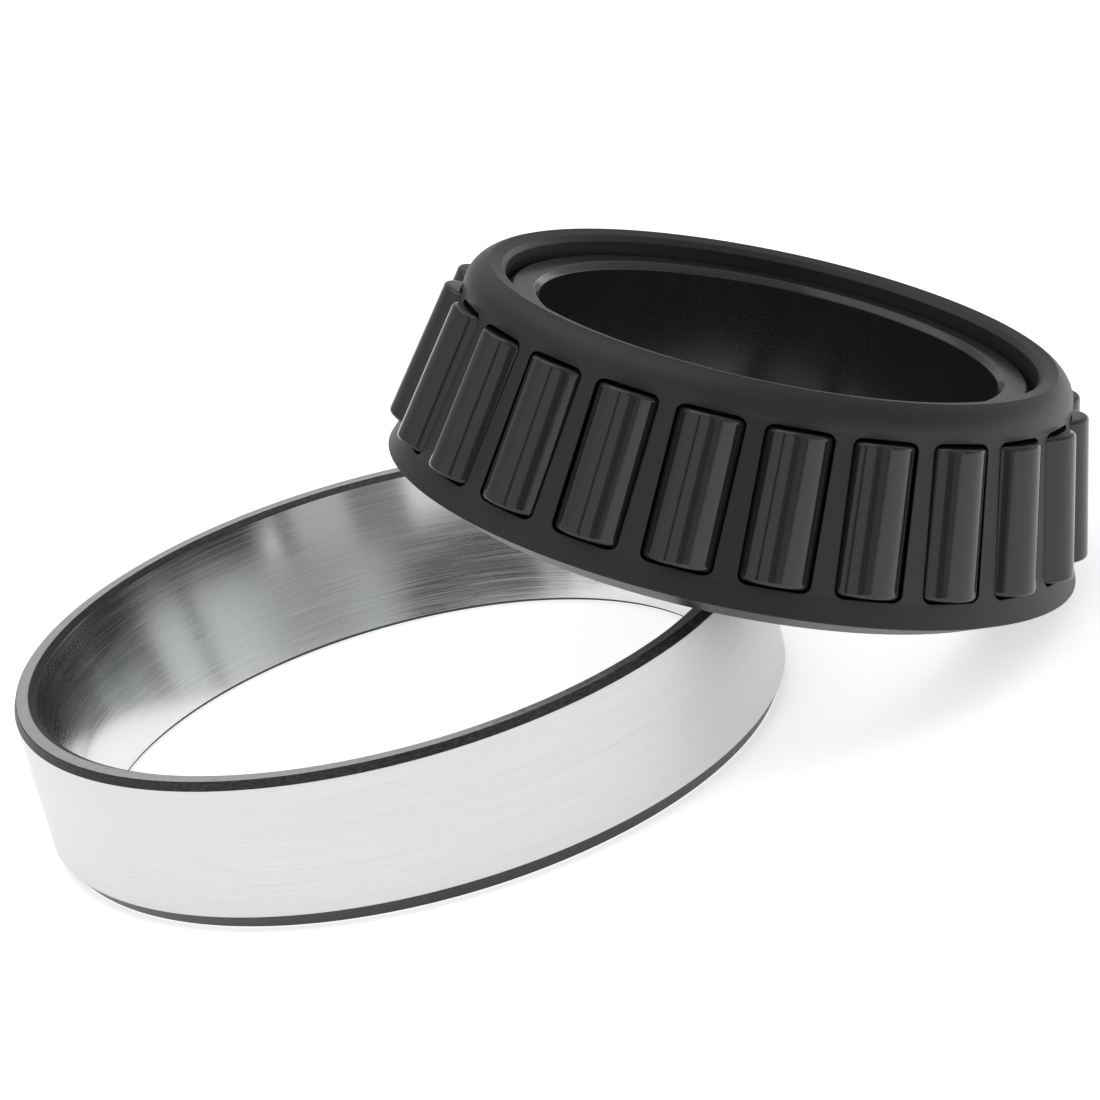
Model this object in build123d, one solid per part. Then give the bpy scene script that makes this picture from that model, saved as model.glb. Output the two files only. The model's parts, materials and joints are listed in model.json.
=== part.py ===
from build123d import *
import math
import os

# Separable single-row tapered roller bearing, 50 x 82 x 22 mm, in mm.
# It lies in its two halves, as unpacked: the cup (outer ring) flat on the ground, wide end of
# its raceway up, and the cone assembly (inner ring, cage, rollers) leaning on the cup's rim.
# Origin: on the cup's axis, at the ground.  +Z is up, and the cone assembly leans along +X.

# Boundary sizes
BORE_R = 25.0
CUP_R = 41.0
CUP_WIDTH = 17.0
CONE_WIDTH = 22.0
BEARING_WIDTH = 22.0

# Rolling geometry: every raceway and roller is a cone with its tip at one apex on the axis.
# Heights in the cone assembly run from the inner ring's back face (large end) to its front.
CUP_ANGLE = math.radians(12.5)
ROLLER_ANGLE = math.radians(1.28)
AXIS_ANGLE = CUP_ANGLE - ROLLER_ANGLE
CONE_ANGLE = AXIS_ANGLE - ROLLER_ANGLE
RACEWAY_R = 38.5
RACEWAY_DEPTH = 0.5
RACEWAY_Z = BEARING_WIDTH - CUP_WIDTH + RACEWAY_DEPTH
APEX_Z = RACEWAY_Z + RACEWAY_R / math.tan(CUP_ANGLE)

# Rollers
ROLLER_COUNT = 23
ROLLER_LENGTH = 15.6
ROLLER_FAR = RACEWAY_R / (math.sin(AXIS_ANGLE) + math.tan(ROLLER_ANGLE) * math.cos(AXIS_ANGLE))
ROLLER_BIG_R = ROLLER_FAR * math.tan(ROLLER_ANGLE)
ROLLER_SMALL_R = (ROLLER_FAR - ROLLER_LENGTH) * math.tan(ROLLER_ANGLE)
ROLLER_EDGE = 0.5
ROLLER_PHASE = -4.25

# Running clearances
RACE_GAP = 0.04
RIB_GAP = 0.04
SMALL_RIB_GAP = 0.15
POCKET_SIDE_GAP = 0.35
POCKET_END_GAP = 0.35

# Cup edges: (radial, axial) size of each bevel
CUP_TOP_BEVEL = (0.4, 0.9)
CUP_BOTTOM_BEVEL = (1.1, 1.7)
CUP_MOUTH_BEVEL = 0.8
CUP_EXIT_BEVEL = 0.3

# Inner ring.  The bore's back corner is rounded, (radial, axial), to clear a shaft's fillet.
BIG_RIB_R = 33.0
SMALL_RIB_R = 28.7
BACK_CORNER = (1.0, 3.8)
CUTTER_MARGIN = 1.0
RING_FRONT_BEVEL = 0.7
RIB_BEVEL = 0.6

# Cage
CAGE_BIG_BORE = 33.6
CAGE_SMALL_BORE = 29.1
CAGE_BACK_Z = 0.35
CAGE_EDGE = (0.3, 0.1)
CREASE = (37.9, 2.35)
WINDOW_LOW = (36.95, 4.8)
WINDOW_TOP = (33.25, 20.9)
SHOULDER_MID = (32.5, 23.1)
CREST = (31.0, 24.2)
RING_LIP = (29.55, 23.9)
RING_MOUTH_Z = 23.3
BAR_INNER_LOW = (33.6, 4.9)
BAR_INNER_TOP = (30.8, 19.9)
CAGE_SHELF_Z = 20.8
POCKET_CORNER = 0.9

# Resting place of the cone assembly: tilt from upright, and its back-face centre
LEAN = 25.0
LEAN_X = 38.54
LEAN_Z = 14.03


def revolved(outline):
    """Solid of revolution about Z from a closed outline of (radius, height) points."""
    return revolve(make_face(Plane.XZ * Polyline(*outline, close=True)), Axis.Z, 360)


def cup():
    """Outer ring, standing on its thick-walled back face."""
    top_r, top_z = CUP_TOP_BEVEL
    low_r, low_z = CUP_BOTTOM_BEVEL
    mouth_z = CUP_WIDTH - RACEWAY_DEPTH
    exit_r = RACEWAY_R - (mouth_z - CUP_EXIT_BEVEL) * math.tan(CUP_ANGLE)
    return revolved([
        (exit_r + CUP_EXIT_BEVEL, 0),
        (CUP_R - low_r, 0),
        (CUP_R, low_z),
        (CUP_R, CUP_WIDTH - top_z),
        (CUP_R - top_r, CUP_WIDTH),
        (RACEWAY_R + CUP_MOUTH_BEVEL, CUP_WIDTH),
        (RACEWAY_R, mouth_z),
        (exit_r, CUP_EXIT_BEVEL),
    ])


def roller_corner(distance, radius, side):
    """(radius, height) of a point beside the roller axis, `distance` from the apex."""
    r = distance * math.sin(AXIS_ANGLE) + side * radius * math.cos(AXIS_ANGLE)
    z = APEX_Z - distance * math.cos(AXIS_ANGLE) + side * radius * math.sin(AXIS_ANGLE)
    return r, z


def inner_ring():
    """Inner ring: bore, tapered raceway, and a rib at each end of the rollers."""
    rise = math.tan(AXIS_ANGLE)
    big_r, big_z = roller_corner(ROLLER_FAR, ROLLER_BIG_R, -1)
    small_r, small_z = roller_corner(ROLLER_FAR - ROLLER_LENGTH, ROLLER_SMALL_R, -1)
    big_r, big_z = big_r - RACE_GAP, big_z - RIB_GAP
    small_r, small_z = small_r - RACE_GAP, small_z + SMALL_RIB_GAP
    corner_r, corner_z = BACK_CORNER
    ring = revolved([
        (BORE_R, 0),
        (BIG_RIB_R - RIB_BEVEL, 0),
        (BIG_RIB_R, RIB_BEVEL),
        (BIG_RIB_R, big_z + (BIG_RIB_R - big_r) * rise),
        (big_r, big_z),
        (small_r, small_z),
        (SMALL_RIB_R, small_z + (SMALL_RIB_R - small_r) * rise),
        (SMALL_RIB_R, CONE_WIDTH - RING_FRONT_BEVEL),
        (SMALL_RIB_R - RING_FRONT_BEVEL, CONE_WIDTH),
        (BORE_R + RING_FRONT_BEVEL, CONE_WIDTH),
        (BORE_R, CONE_WIDTH - RING_FRONT_BEVEL),
    ])
    corner = [
        Polyline((BORE_R, corner_z), (BORE_R - CUTTER_MARGIN, corner_z),
                 (BORE_R - CUTTER_MARGIN, -CUTTER_MARGIN),
                 (BORE_R + corner_r, -CUTTER_MARGIN), (BORE_R + corner_r, 0)),
        EllipticalCenterArc((BORE_R + corner_r, corner_z), corner_r, corner_z, 180, arc_size=90),
    ]
    return ring - revolve(make_face(Plane.XZ * Curve(corner)), Axis.Z, 360)


def roller_blank(extra_radius, extra_length, edge):
    """Tapered roller along Z, large end at Z = 0, with rounded end edges."""
    low = -extra_length
    high = ROLLER_LENGTH + extra_length
    slope = math.tan(ROLLER_ANGLE)
    low_r = ROLLER_BIG_R + extra_radius - low * slope
    high_r = ROLLER_BIG_R + extra_radius - high * slope
    blank = revolved([(0, low), (low_r, low), (high_r, high), (0, high)])
    return fillet(blank.edges().filter_by(GeomType.CIRCLE), edge)


def roller_place(number):
    """Where roller `number` (0, 1, 2 ...) sits round the cone assembly's own axis."""
    turn = ROLLER_PHASE + number * 360 / ROLLER_COUNT
    r = ROLLER_FAR * math.sin(AXIS_ANGLE)
    z = APEX_Z - ROLLER_FAR * math.cos(AXIS_ANGLE)
    tilt = Location((r, 0, z), (0, -math.degrees(AXIS_ANGLE), 0))
    return Location((0, 0, 0), (0, 0, turn)) * tilt


def cage():
    """One-piece moulded cage: end rings joined by bars, with a pocket for each roller."""
    edge_r, edge_z = CAGE_EDGE
    outline = [
        Polyline(CREST, RING_LIP, (CAGE_SMALL_BORE, RING_MOUTH_Z), (CAGE_SMALL_BORE, CAGE_SHELF_Z),
                 BAR_INNER_TOP, BAR_INNER_LOW, (CAGE_BIG_BORE, CAGE_BACK_Z + edge_z),
                 (CAGE_BIG_BORE + edge_r, CAGE_BACK_Z), CREASE, WINDOW_LOW, WINDOW_TOP),
        ThreePointArc(WINDOW_TOP, SHOULDER_MID, CREST),
    ]
    body = revolve(make_face(Plane.XZ * Curve(outline)), Axis.Z, 360)
    pocket = roller_blank(POCKET_SIDE_GAP, POCKET_END_GAP, POCKET_CORNER)
    pockets = [roller_place(number) * pocket for number in range(ROLLER_COUNT)]
    return body - pockets


os.makedirs("parts", exist_ok=True)
leaning = Location((LEAN_X, 0, LEAN_Z), (0, LEAN, 0))
export_step(cup(), "parts/cup.step")
export_step(leaning * inner_ring(), "parts/inner_ring.step")
export_step(leaning * cage(), "parts/cage.step")
roller = roller_blank(0, 0, ROLLER_EDGE)
for number in range(ROLLER_COUNT):
    placed = leaning * roller_place(number) * roller
    export_step(placed, f"parts/roller_{number + 1:02d}.step")
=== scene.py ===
import json
import math
import bpy
from mathutils import Matrix, Vector


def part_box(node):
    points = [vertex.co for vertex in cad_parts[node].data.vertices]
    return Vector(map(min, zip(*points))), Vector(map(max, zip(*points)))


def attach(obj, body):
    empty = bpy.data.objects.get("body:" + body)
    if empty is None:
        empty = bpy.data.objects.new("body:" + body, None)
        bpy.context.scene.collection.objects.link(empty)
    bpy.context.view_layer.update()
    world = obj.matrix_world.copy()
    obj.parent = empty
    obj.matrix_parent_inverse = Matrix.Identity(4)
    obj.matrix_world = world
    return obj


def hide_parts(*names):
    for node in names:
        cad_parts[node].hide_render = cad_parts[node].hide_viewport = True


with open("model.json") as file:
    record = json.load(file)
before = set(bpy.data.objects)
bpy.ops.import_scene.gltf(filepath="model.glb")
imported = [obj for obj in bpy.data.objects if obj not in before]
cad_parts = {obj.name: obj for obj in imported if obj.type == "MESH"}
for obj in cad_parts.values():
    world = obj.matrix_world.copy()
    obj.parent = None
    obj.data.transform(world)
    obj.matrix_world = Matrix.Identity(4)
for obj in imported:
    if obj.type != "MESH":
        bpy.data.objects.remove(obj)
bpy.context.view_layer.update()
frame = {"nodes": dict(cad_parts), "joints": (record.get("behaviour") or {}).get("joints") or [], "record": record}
mounts = {mount["name"]: mount for mount in frame["record"]["mounts"]}
MM = 0.001
UP = Vector((0, 0, 1))

# Segments round a turned piece, and the small curve (mm) on a ring's edges
RING_SEGMENTS = 360
ROLLER_SEGMENTS = 96
EDGE_CURVE = 0.12
LONGEST_CURVE = 0.4

# Bearing sizes in mm, as in the CAD part
CUP_ANGLE = math.radians(12.5)
ROLLER_ANGLE = math.radians(1.28)
AXIS_ANGLE = CUP_ANGLE - ROLLER_ANGLE
BEARING_WIDTH = 22.0
RACE_R = 38.5
RACE_DEPTH = 0.5
MOUTH_BEVEL = 0.8
EXIT_BEVEL = 0.3
TOP_BEVEL = (0.4, 0.9)
LOW_BEVEL = (1.1, 1.7)
RING_WIDTH = 22.0
RING_BEVEL = 0.7
RIB_BEVEL = 0.6
BIG_RIB = 33.0
SMALL_RIB = 28.7
BACK_CORNER = (1.0, 3.8)
RACE_GAP = 0.04
RIB_GAP = 0.04
SMALL_RIB_GAP = 0.15
ROLLER_LENGTH = 15.6
ROLLER_EDGE = 0.5
AXIS_HOLE = 0.01


# ---------------------------------------------------------------- turned pieces

def edge_curve(before, corner, after, radius, steps):
    """Points of the small curve that takes the place of one corner of an outline."""
    here = Vector(corner)
    back = Vector(before) - here
    ahead = Vector(after) - here
    reach = min(radius, back.length * LONGEST_CURVE, ahead.length * LONGEST_CURVE)
    start = here + back.normalized() * reach
    end = here + ahead.normalized() * reach
    shares = [step / steps for step in range(steps + 1)]
    return [start * (1 - t) ** 2 + here * 2 * t * (1 - t) + end * t * t for t in shares]


def rounded(points):
    """Closed (radius, height) outline with every corner swapped for a small curve."""
    out = []
    for i, corner in enumerate(points):
        after = points[(i + 1) % len(points)]
        out += edge_curve(points[i - 1], corner, after, EDGE_CURVE, 4)
    return out


def lathe(name, outline, place, body, node, closed=True, around=RING_SEGMENTS):
    """Smooth turned piece: an outline in mm spun round local Z, then put at `place`."""
    verts = []
    faces = []
    rows = len(outline)
    for a in range(around):
        turn = 2 * math.pi * a / around
        for r, z in outline:
            verts.append((r * math.cos(turn) * MM, r * math.sin(turn) * MM, z * MM))
    last = rows if closed else rows - 1
    for a in range(around):
        b = (a + 1) % around
        for i in range(last):
            j = (i + 1) % rows
            faces.append((a * rows + i, b * rows + i, b * rows + j, a * rows + j))
    if not closed:
        faces.append([a * rows for a in range(around)][::-1])
        faces.append([a * rows + rows - 1 for a in range(around)])
    mesh = bpy.data.meshes.new(name)
    mesh.from_pydata(verts, [], faces)
    mesh.polygons.foreach_set("use_smooth", [True] * len(mesh.polygons))
    mesh.update()
    piece = bpy.data.objects.new(name, mesh)
    bpy.context.scene.collection.objects.link(piece)
    piece.matrix_world = place
    weighted = piece.modifiers.new("even_normals", "WEIGHTED_NORMAL")
    weighted.weight = 100
    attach(piece, body)
    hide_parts(node)
    return piece


def standing(place, axis):
    """Matrix that puts local Z along `axis` with its origin at `place`, in metres."""
    return Matrix.Translation(place) @ UP.rotation_difference(axis).to_matrix().to_4x4()


# ---------------------------------------------------------------- materials

def grey(value, green=None, blue=None):
    return (value, value if green is None else green, value if blue is None else blue, 1)


class Surface:
    """Short way to write a node material."""

    def __init__(self, name):
        self.mat = bpy.data.materials.new(name)
        self.mat.use_nodes = True
        self.tree = self.mat.node_tree
        self.tree.nodes.clear()
        self.out = self.add("ShaderNodeOutputMaterial")
        self.shader = self.add("ShaderNodeBsdfPrincipled")
        self.link(self.shader, "BSDF", self.out, "Surface")
        self.coords = self.add("ShaderNodeTexCoord")

    def add(self, kind):
        return self.tree.nodes.new(kind)

    def link(self, source, output, target, socket):
        self.tree.links.new(source.outputs[output], target.inputs[socket])

    def set(self, socket, value):
        self.shader.inputs[socket].default_value = value

    def noise(self, scale, detail):
        stretch = self.add("ShaderNodeMapping")
        stretch.inputs["Scale"].default_value = scale
        self.link(self.coords, "Object", stretch, "Vector")
        grain = self.add("ShaderNodeTexNoise")
        grain.inputs["Scale"].default_value = 1.0
        grain.inputs["Detail"].default_value = detail
        self.link(stretch, "Vector", grain, "Vector")
        return grain

    def vary(self, grain, socket, low, high, span=(0.3, 0.7)):
        """Drive a shader socket from `low` to `high` over that span of the noise."""
        ramp = self.add("ShaderNodeValToRGB")
        self.link(grain, "Fac", ramp, "Fac")
        for element, place, colour in zip(ramp.color_ramp.elements, span, (low, high)):
            element.position = place
            element.color = colour
        self.link(ramp, "Color", self.shader, socket)

    def bump(self, grain, strength, distance):
        bump = self.add("ShaderNodeBump")
        bump.inputs["Strength"].default_value = strength
        bump.inputs["Distance"].default_value = distance
        self.link(grain, "Fac", bump, "Height")
        self.link(bump, "Normal", self.shader, "Normal")
        return bump


def ground_steel():
    """Outside of the cup: bright, with fine grinding lines round it."""
    steel = Surface("ground_steel")
    steel.set("Metallic", 1.0)
    lines = steel.noise((70, 70, 14000), 6)
    steel.vary(lines, "Base Color", grey(0.56, 0.57, 0.575), grey(0.66, 0.67, 0.675))
    steel.vary(lines, "Roughness", grey(0.3), grey(0.42))
    steel.bump(lines, 0.12, 0.00002)
    return steel.mat


def race_steel():
    """Polished raceway of the cup."""
    steel = Surface("race_steel")
    steel.set("Metallic", 1.0)
    lines = steel.noise((90, 90, 9000), 5)
    steel.vary(lines, "Base Color", grey(0.7, 0.71, 0.71), grey(0.8, 0.81, 0.81))
    steel.vary(lines, "Roughness", grey(0.12), grey(0.2), (0.35, 0.7))
    return steel.mat


def face_steel():
    """Flat end faces of the cup."""
    steel = Surface("face_steel")
    steel.set("Metallic", 1.0)
    grain = steel.noise((2500, 2500, 2500), 4)
    steel.vary(grain, "Base Color", grey(0.5, 0.51, 0.51), grey(0.62, 0.63, 0.63))
    steel.vary(grain, "Roughness", grey(0.3), grey(0.45))
    return steel.mat


def turned_black():
    """Unground, dark bevels of the cup."""
    steel = Surface("turned_black")
    steel.set("Metallic", 0.6)
    lines = steel.noise((1500, 1500, 5000), 5)
    steel.vary(lines, "Base Color", grey(0.02, 0.021, 0.021), grey(0.06, 0.062, 0.062), (0.35, 0.75))
    steel.vary(lines, "Roughness", grey(0.35), grey(0.55))
    steel.bump(lines, 0.3, 0.00004)
    return steel.mat


def black_metal(name, rough_low, rough_high):
    """Polished black finish of the inner ring and the rollers."""
    steel = Surface(name)
    haze = steel.noise((3000, 3000, 3000), 3)
    steel.vary(haze, "Base Color", grey(0.012, 0.01236, 0.01236), grey(0.015, 0.01545, 0.01545))
    steel.vary(haze, "Roughness", grey(rough_low), grey(rough_high))
    steel.set("IOR", 1.5)
    return steel.mat


def satin_polymer():
    """Moulded cage: fine grain, edges softened in shading only."""
    polymer = Surface("satin_polymer")
    grain = polymer.noise((7000, 7000, 7000), 3)
    polymer.vary(grain, "Base Color", grey(0.009, 0.0095, 0.0095), grey(0.016, 0.0165, 0.0165))
    polymer.vary(grain, "Roughness", grey(0.36), grey(0.5))
    polymer.set("Specular IOR Level", 0.4)
    bump = polymer.bump(grain, 0.25, 0.00003)
    soft = polymer.add("ShaderNodeBevel")
    soft.samples = 6
    soft.inputs["Radius"].default_value = 0.00018
    polymer.link(soft, "Normal", bump, "Normal")
    return polymer.mat


# ---------------------------------------------------------------- cup

cup_r = mounts["housing_seat"]["dims"]["r_mm"]
cup_low, cup_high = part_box("cup")
cup_width = (cup_high.z - cup_low.z) / MM
GROUND_SLOT, RACE_SLOT, FACE_SLOT, TURNED_SLOT = range(4)


def cup_finish(face):
    """Which finish a face of the cup has, from where it lies and which way it looks."""
    r = math.hypot(face.center.x, face.center.y) / MM
    z = face.center.z / MM
    outward = math.hypot(face.normal.x, face.normal.y)
    if abs(face.normal.z) > 0.93:
        return FACE_SLOT
    if r > cup_r - EDGE_CURVE / 2 and outward > 0.97:
        return GROUND_SLOT
    if r < RACE_R and outward > 0.9 and z > EXIT_BEVEL + 0.25:
        return RACE_SLOT
    return TURNED_SLOT


def make_cup():
    mouth_z = cup_width - RACE_DEPTH
    exit_r = RACE_R - (mouth_z - EXIT_BEVEL) * math.tan(CUP_ANGLE)
    outline = rounded([
        (exit_r + EXIT_BEVEL, 0),
        (cup_r - LOW_BEVEL[0], 0),
        (cup_r, LOW_BEVEL[1]),
        (cup_r, cup_width - TOP_BEVEL[1]),
        (cup_r - TOP_BEVEL[0], cup_width),
        (RACE_R + MOUTH_BEVEL, cup_width),
        (RACE_R, mouth_z),
        (exit_r, EXIT_BEVEL)])
    cup = lathe("cup_body", outline, Matrix.Identity(4), "cup", "cup")
    for material in (ground_steel(), race_steel(), face_steel(), turned_black()):
        cup.data.materials.append(material)
    for face in cup.data.polygons:
        face.material_index = cup_finish(face)


# ---------------------------------------------------------------- cone assembly

# Rollers and raceways are cones with one tip, at this height over the inner ring's back face
apex_z = BEARING_WIDTH - cup_width + RACE_DEPTH + RACE_R / math.tan(CUP_ANGLE)
roller_far = RACE_R / (math.sin(AXIS_ANGLE) + math.tan(ROLLER_ANGLE) * math.cos(AXIS_ANGLE))
roller_big_r = roller_far * math.tan(ROLLER_ANGLE)
roller_small_r = (roller_far - ROLLER_LENGTH) * math.tan(ROLLER_ANGLE)


def roller_foot(distance, radius):
    """(radius, height) of the roller's inner edge, `distance` from the tip."""
    r = distance * math.sin(AXIS_ANGLE) - radius * math.cos(AXIS_ANGLE)
    z = apex_z - distance * math.cos(AXIS_ANGLE) - radius * math.sin(AXIS_ANGLE)
    return r, z


def make_inner_ring():
    seat = mounts["shaft_seat"]
    axis = Vector(seat["axis"]).normalized()
    bore_r = seat["dims"]["r_mm"]
    centre = Vector(seat["pos_m"])
    front_gap = (Vector(mounts["cone_front_face"]["pos_m"]) - centre).dot(axis)
    back = centre + axis * (front_gap - RING_WIDTH * MM)
    rise = math.tan(AXIS_ANGLE)
    big_r, big_z = roller_foot(roller_far, roller_big_r)
    small_r, small_z = roller_foot(roller_far - ROLLER_LENGTH, roller_small_r)
    big_r, big_z = big_r - RACE_GAP, big_z - RIB_GAP
    small_r, small_z = small_r - RACE_GAP, small_z + SMALL_RIB_GAP
    outline = rounded([
        (BIG_RIB - RIB_BEVEL, 0),
        (BIG_RIB, RIB_BEVEL),
        (BIG_RIB, big_z + (BIG_RIB - big_r) * rise),
        (big_r, big_z),
        (small_r, small_z),
        (SMALL_RIB, small_z + (SMALL_RIB - small_r) * rise),
        (SMALL_RIB, RING_WIDTH - RING_BEVEL),
        (SMALL_RIB - RING_BEVEL, RING_WIDTH),
        (bore_r + RING_BEVEL, RING_WIDTH),
        (bore_r, RING_WIDTH - RING_BEVEL),
        (bore_r, BACK_CORNER[1]),
        (bore_r + BACK_CORNER[0], 0)])
    ring = lathe("inner_ring_body", outline, standing(back, axis), "inner_ring", "inner_ring")
    ring.data.materials.append(black_metal("black_ring", 0.16, 0.2))


def make_rollers():
    half = ROLLER_LENGTH / 2
    low = (AXIS_HOLE, -half)
    big = (roller_big_r, -half)
    small = (roller_small_r, half)
    high = (AXIS_HOLE, half)
    outline = [low, *edge_curve(low, big, small, ROLLER_EDGE, 6),
               *edge_curve(big, small, high, ROLLER_EDGE, 6), high]
    material = black_metal("black_roller", 0.07, 0.1)
    for joint in frame["joints"]:
        name = joint["child"]
        if name.startswith("roller"):
            place = standing(Vector(joint["pos_m"]), Vector(joint["axis"]).normalized())
            roller = lathe(name + "_body", outline, place, name, name, False, ROLLER_SEGMENTS)
            roller.data.materials.append(material)


def finish_cage():
    cage = frame["nodes"]["cage"]
    cage.data.materials.clear()
    cage.data.materials.append(satin_polymer())


make_cup()
make_inner_ring()
make_rollers()
finish_cage()

# ---------------------------------------------------------------- stage, light, camera

FLOOR_HALF = 6.0
FLOOR_DROP = 0.0001

# Soft boxes and dark gaps round the horizon: (degrees round the floor from +X, brightness).
# The camera stands at about -96 degrees.
HORIZON = [
    (-180, 0.8), (-152, 0.9), (-149, 0.2), (-143, 0.2), (-140, 0.9), (-112, 0.9), (-109, 0.25),
    (-92, 0.2), (-90, 0.5), (-73, 0.5), (-71, 0.2), (-67, 0.2), (-65, 1.0), (-51, 1.0), (-49, 0.15),
    (-45, 0.15), (-43, 0.55), (-31, 0.6), (-29, 0.25), (-22, 0.25), (-20, 0.6), (40, 0.55),
    (60, 0.35), (90, 0.6), (120, 0.45), (150, 0.5), (180, 0.8)]
SKY = (0.6, 0.6, 0.6, 1)
SKY_FROM, SKY_FULL = 0.55, 0.85


def make_floor():
    mesh = bpy.data.meshes.new("floor")
    corners = [(-1, -1), (1, -1), (1, 1), (-1, 1)]
    mesh.from_pydata([(x * FLOOR_HALF, y * FLOOR_HALF, 0) for x, y in corners], [], [(0, 1, 2, 3)])
    floor = bpy.data.objects.new("floor", mesh)
    bpy.context.scene.collection.objects.link(floor)
    floor.location.z = -FLOOR_DROP
    paper = Surface("floor_paper")
    soft = paper.noise((3, 3, 3), 2)
    paper.vary(soft, "Base Color", grey(0.88), grey(0.9))
    paper.set("Roughness", 1.0)
    paper.set("Emission Color", (1, 1, 1, 1))
    paper.set("Emission Strength", 0.62)
    paper.set("Specular IOR Level", 0)
    mesh.materials.append(paper.mat)


def make_world():
    """Soft boxes and dark gaps round the horizon, open sky of one brightness overhead."""
    world = bpy.data.worlds.new("studio")
    bpy.context.scene.world = world
    world.use_nodes = True
    tree = world.node_tree
    tree.nodes.clear()
    add = tree.nodes.new
    link = tree.links.new
    out = add("ShaderNodeOutputWorld")
    back = add("ShaderNodeBackground")
    coords = add("ShaderNodeTexCoord")
    split = add("ShaderNodeSeparateXYZ")
    turn = add("ShaderNodeMath")
    turn.operation = "ARCTAN2"
    share = add("ShaderNodeMapRange")
    share.inputs["From Min"].default_value = -math.pi
    share.inputs["From Max"].default_value = math.pi
    ramp = add("ShaderNodeValToRGB")
    lift = add("ShaderNodeMapRange")
    lift.inputs["From Min"].default_value = SKY_FROM
    lift.inputs["From Max"].default_value = SKY_FULL
    mix = add("ShaderNodeMix")
    mix.data_type = "RGBA"
    horizon_colour, sky_colour = mix.inputs[6], mix.inputs[7]
    sky_colour.default_value = SKY
    link(coords.outputs["Generated"], split.inputs[0])
    link(split.outputs["Y"], turn.inputs[0])
    link(split.outputs["X"], turn.inputs[1])
    link(turn.outputs[0], share.inputs["Value"])
    link(share.outputs["Result"], ramp.inputs["Fac"])
    link(split.outputs["Z"], lift.inputs["Value"])
    link(lift.outputs["Result"], mix.inputs["Factor"])
    link(ramp.outputs["Color"], horizon_colour)
    link(mix.outputs[2], back.inputs["Color"])
    link(back.outputs[0], out.inputs[0])
    elements = ramp.color_ramp.elements
    while len(elements) < len(HORIZON):
        elements.new(0.5)
    for element, (angle, value) in zip(elements, HORIZON):
        element.position = (angle + 180) / 360
        element.color = (value, value * 1.01, value * 1.01, 1)


def softbox(name, place, aim, size, power):
    light = bpy.data.lights.new(name, "AREA")
    light.shape = "RECTANGLE"
    light.size = size
    light.size_y = size
    light.energy = power
    lamp = bpy.data.objects.new(name, light)
    bpy.context.scene.collection.objects.link(lamp)
    lamp.location = place
    lamp.rotation_euler = (Vector(aim) - Vector(place)).to_track_quat("-Z", "Y").to_euler()


make_floor()
make_world()
softbox("top_box", (-0.1, 0.1, 0.9), aim=(0.03, 0, 0.02), size=0.9, power=2.0)

CAMERA_AT = Vector((-25.20, -416.79, 180.89)) * MM
CAMERA_AIM = Vector((0.0983, 0.9263, -0.3638)).normalized()
ROLL = math.radians(14.51)
LENS = 136.55
right = CAMERA_AIM.cross(Vector((0, 0, 1))).normalized()
upward = right.cross(CAMERA_AIM)
camera_up = upward * math.cos(ROLL) + right * math.sin(ROLL)
camera_right = right * math.cos(ROLL) - upward * math.sin(ROLL)
camera_data = bpy.data.cameras.new("camera")
camera_data.lens = LENS
camera_data.sensor_width = 36
camera_data.clip_start = 0.01
camera = bpy.data.objects.new("camera", camera_data)
bpy.context.scene.collection.objects.link(camera)
turned = Matrix((camera_right, camera_up, -CAMERA_AIM)).transposed().to_4x4()
camera.matrix_world = Matrix.Translation(CAMERA_AT) @ turned
bpy.context.scene.camera = camera
bpy.context.scene.view_settings.view_transform = "Standard"
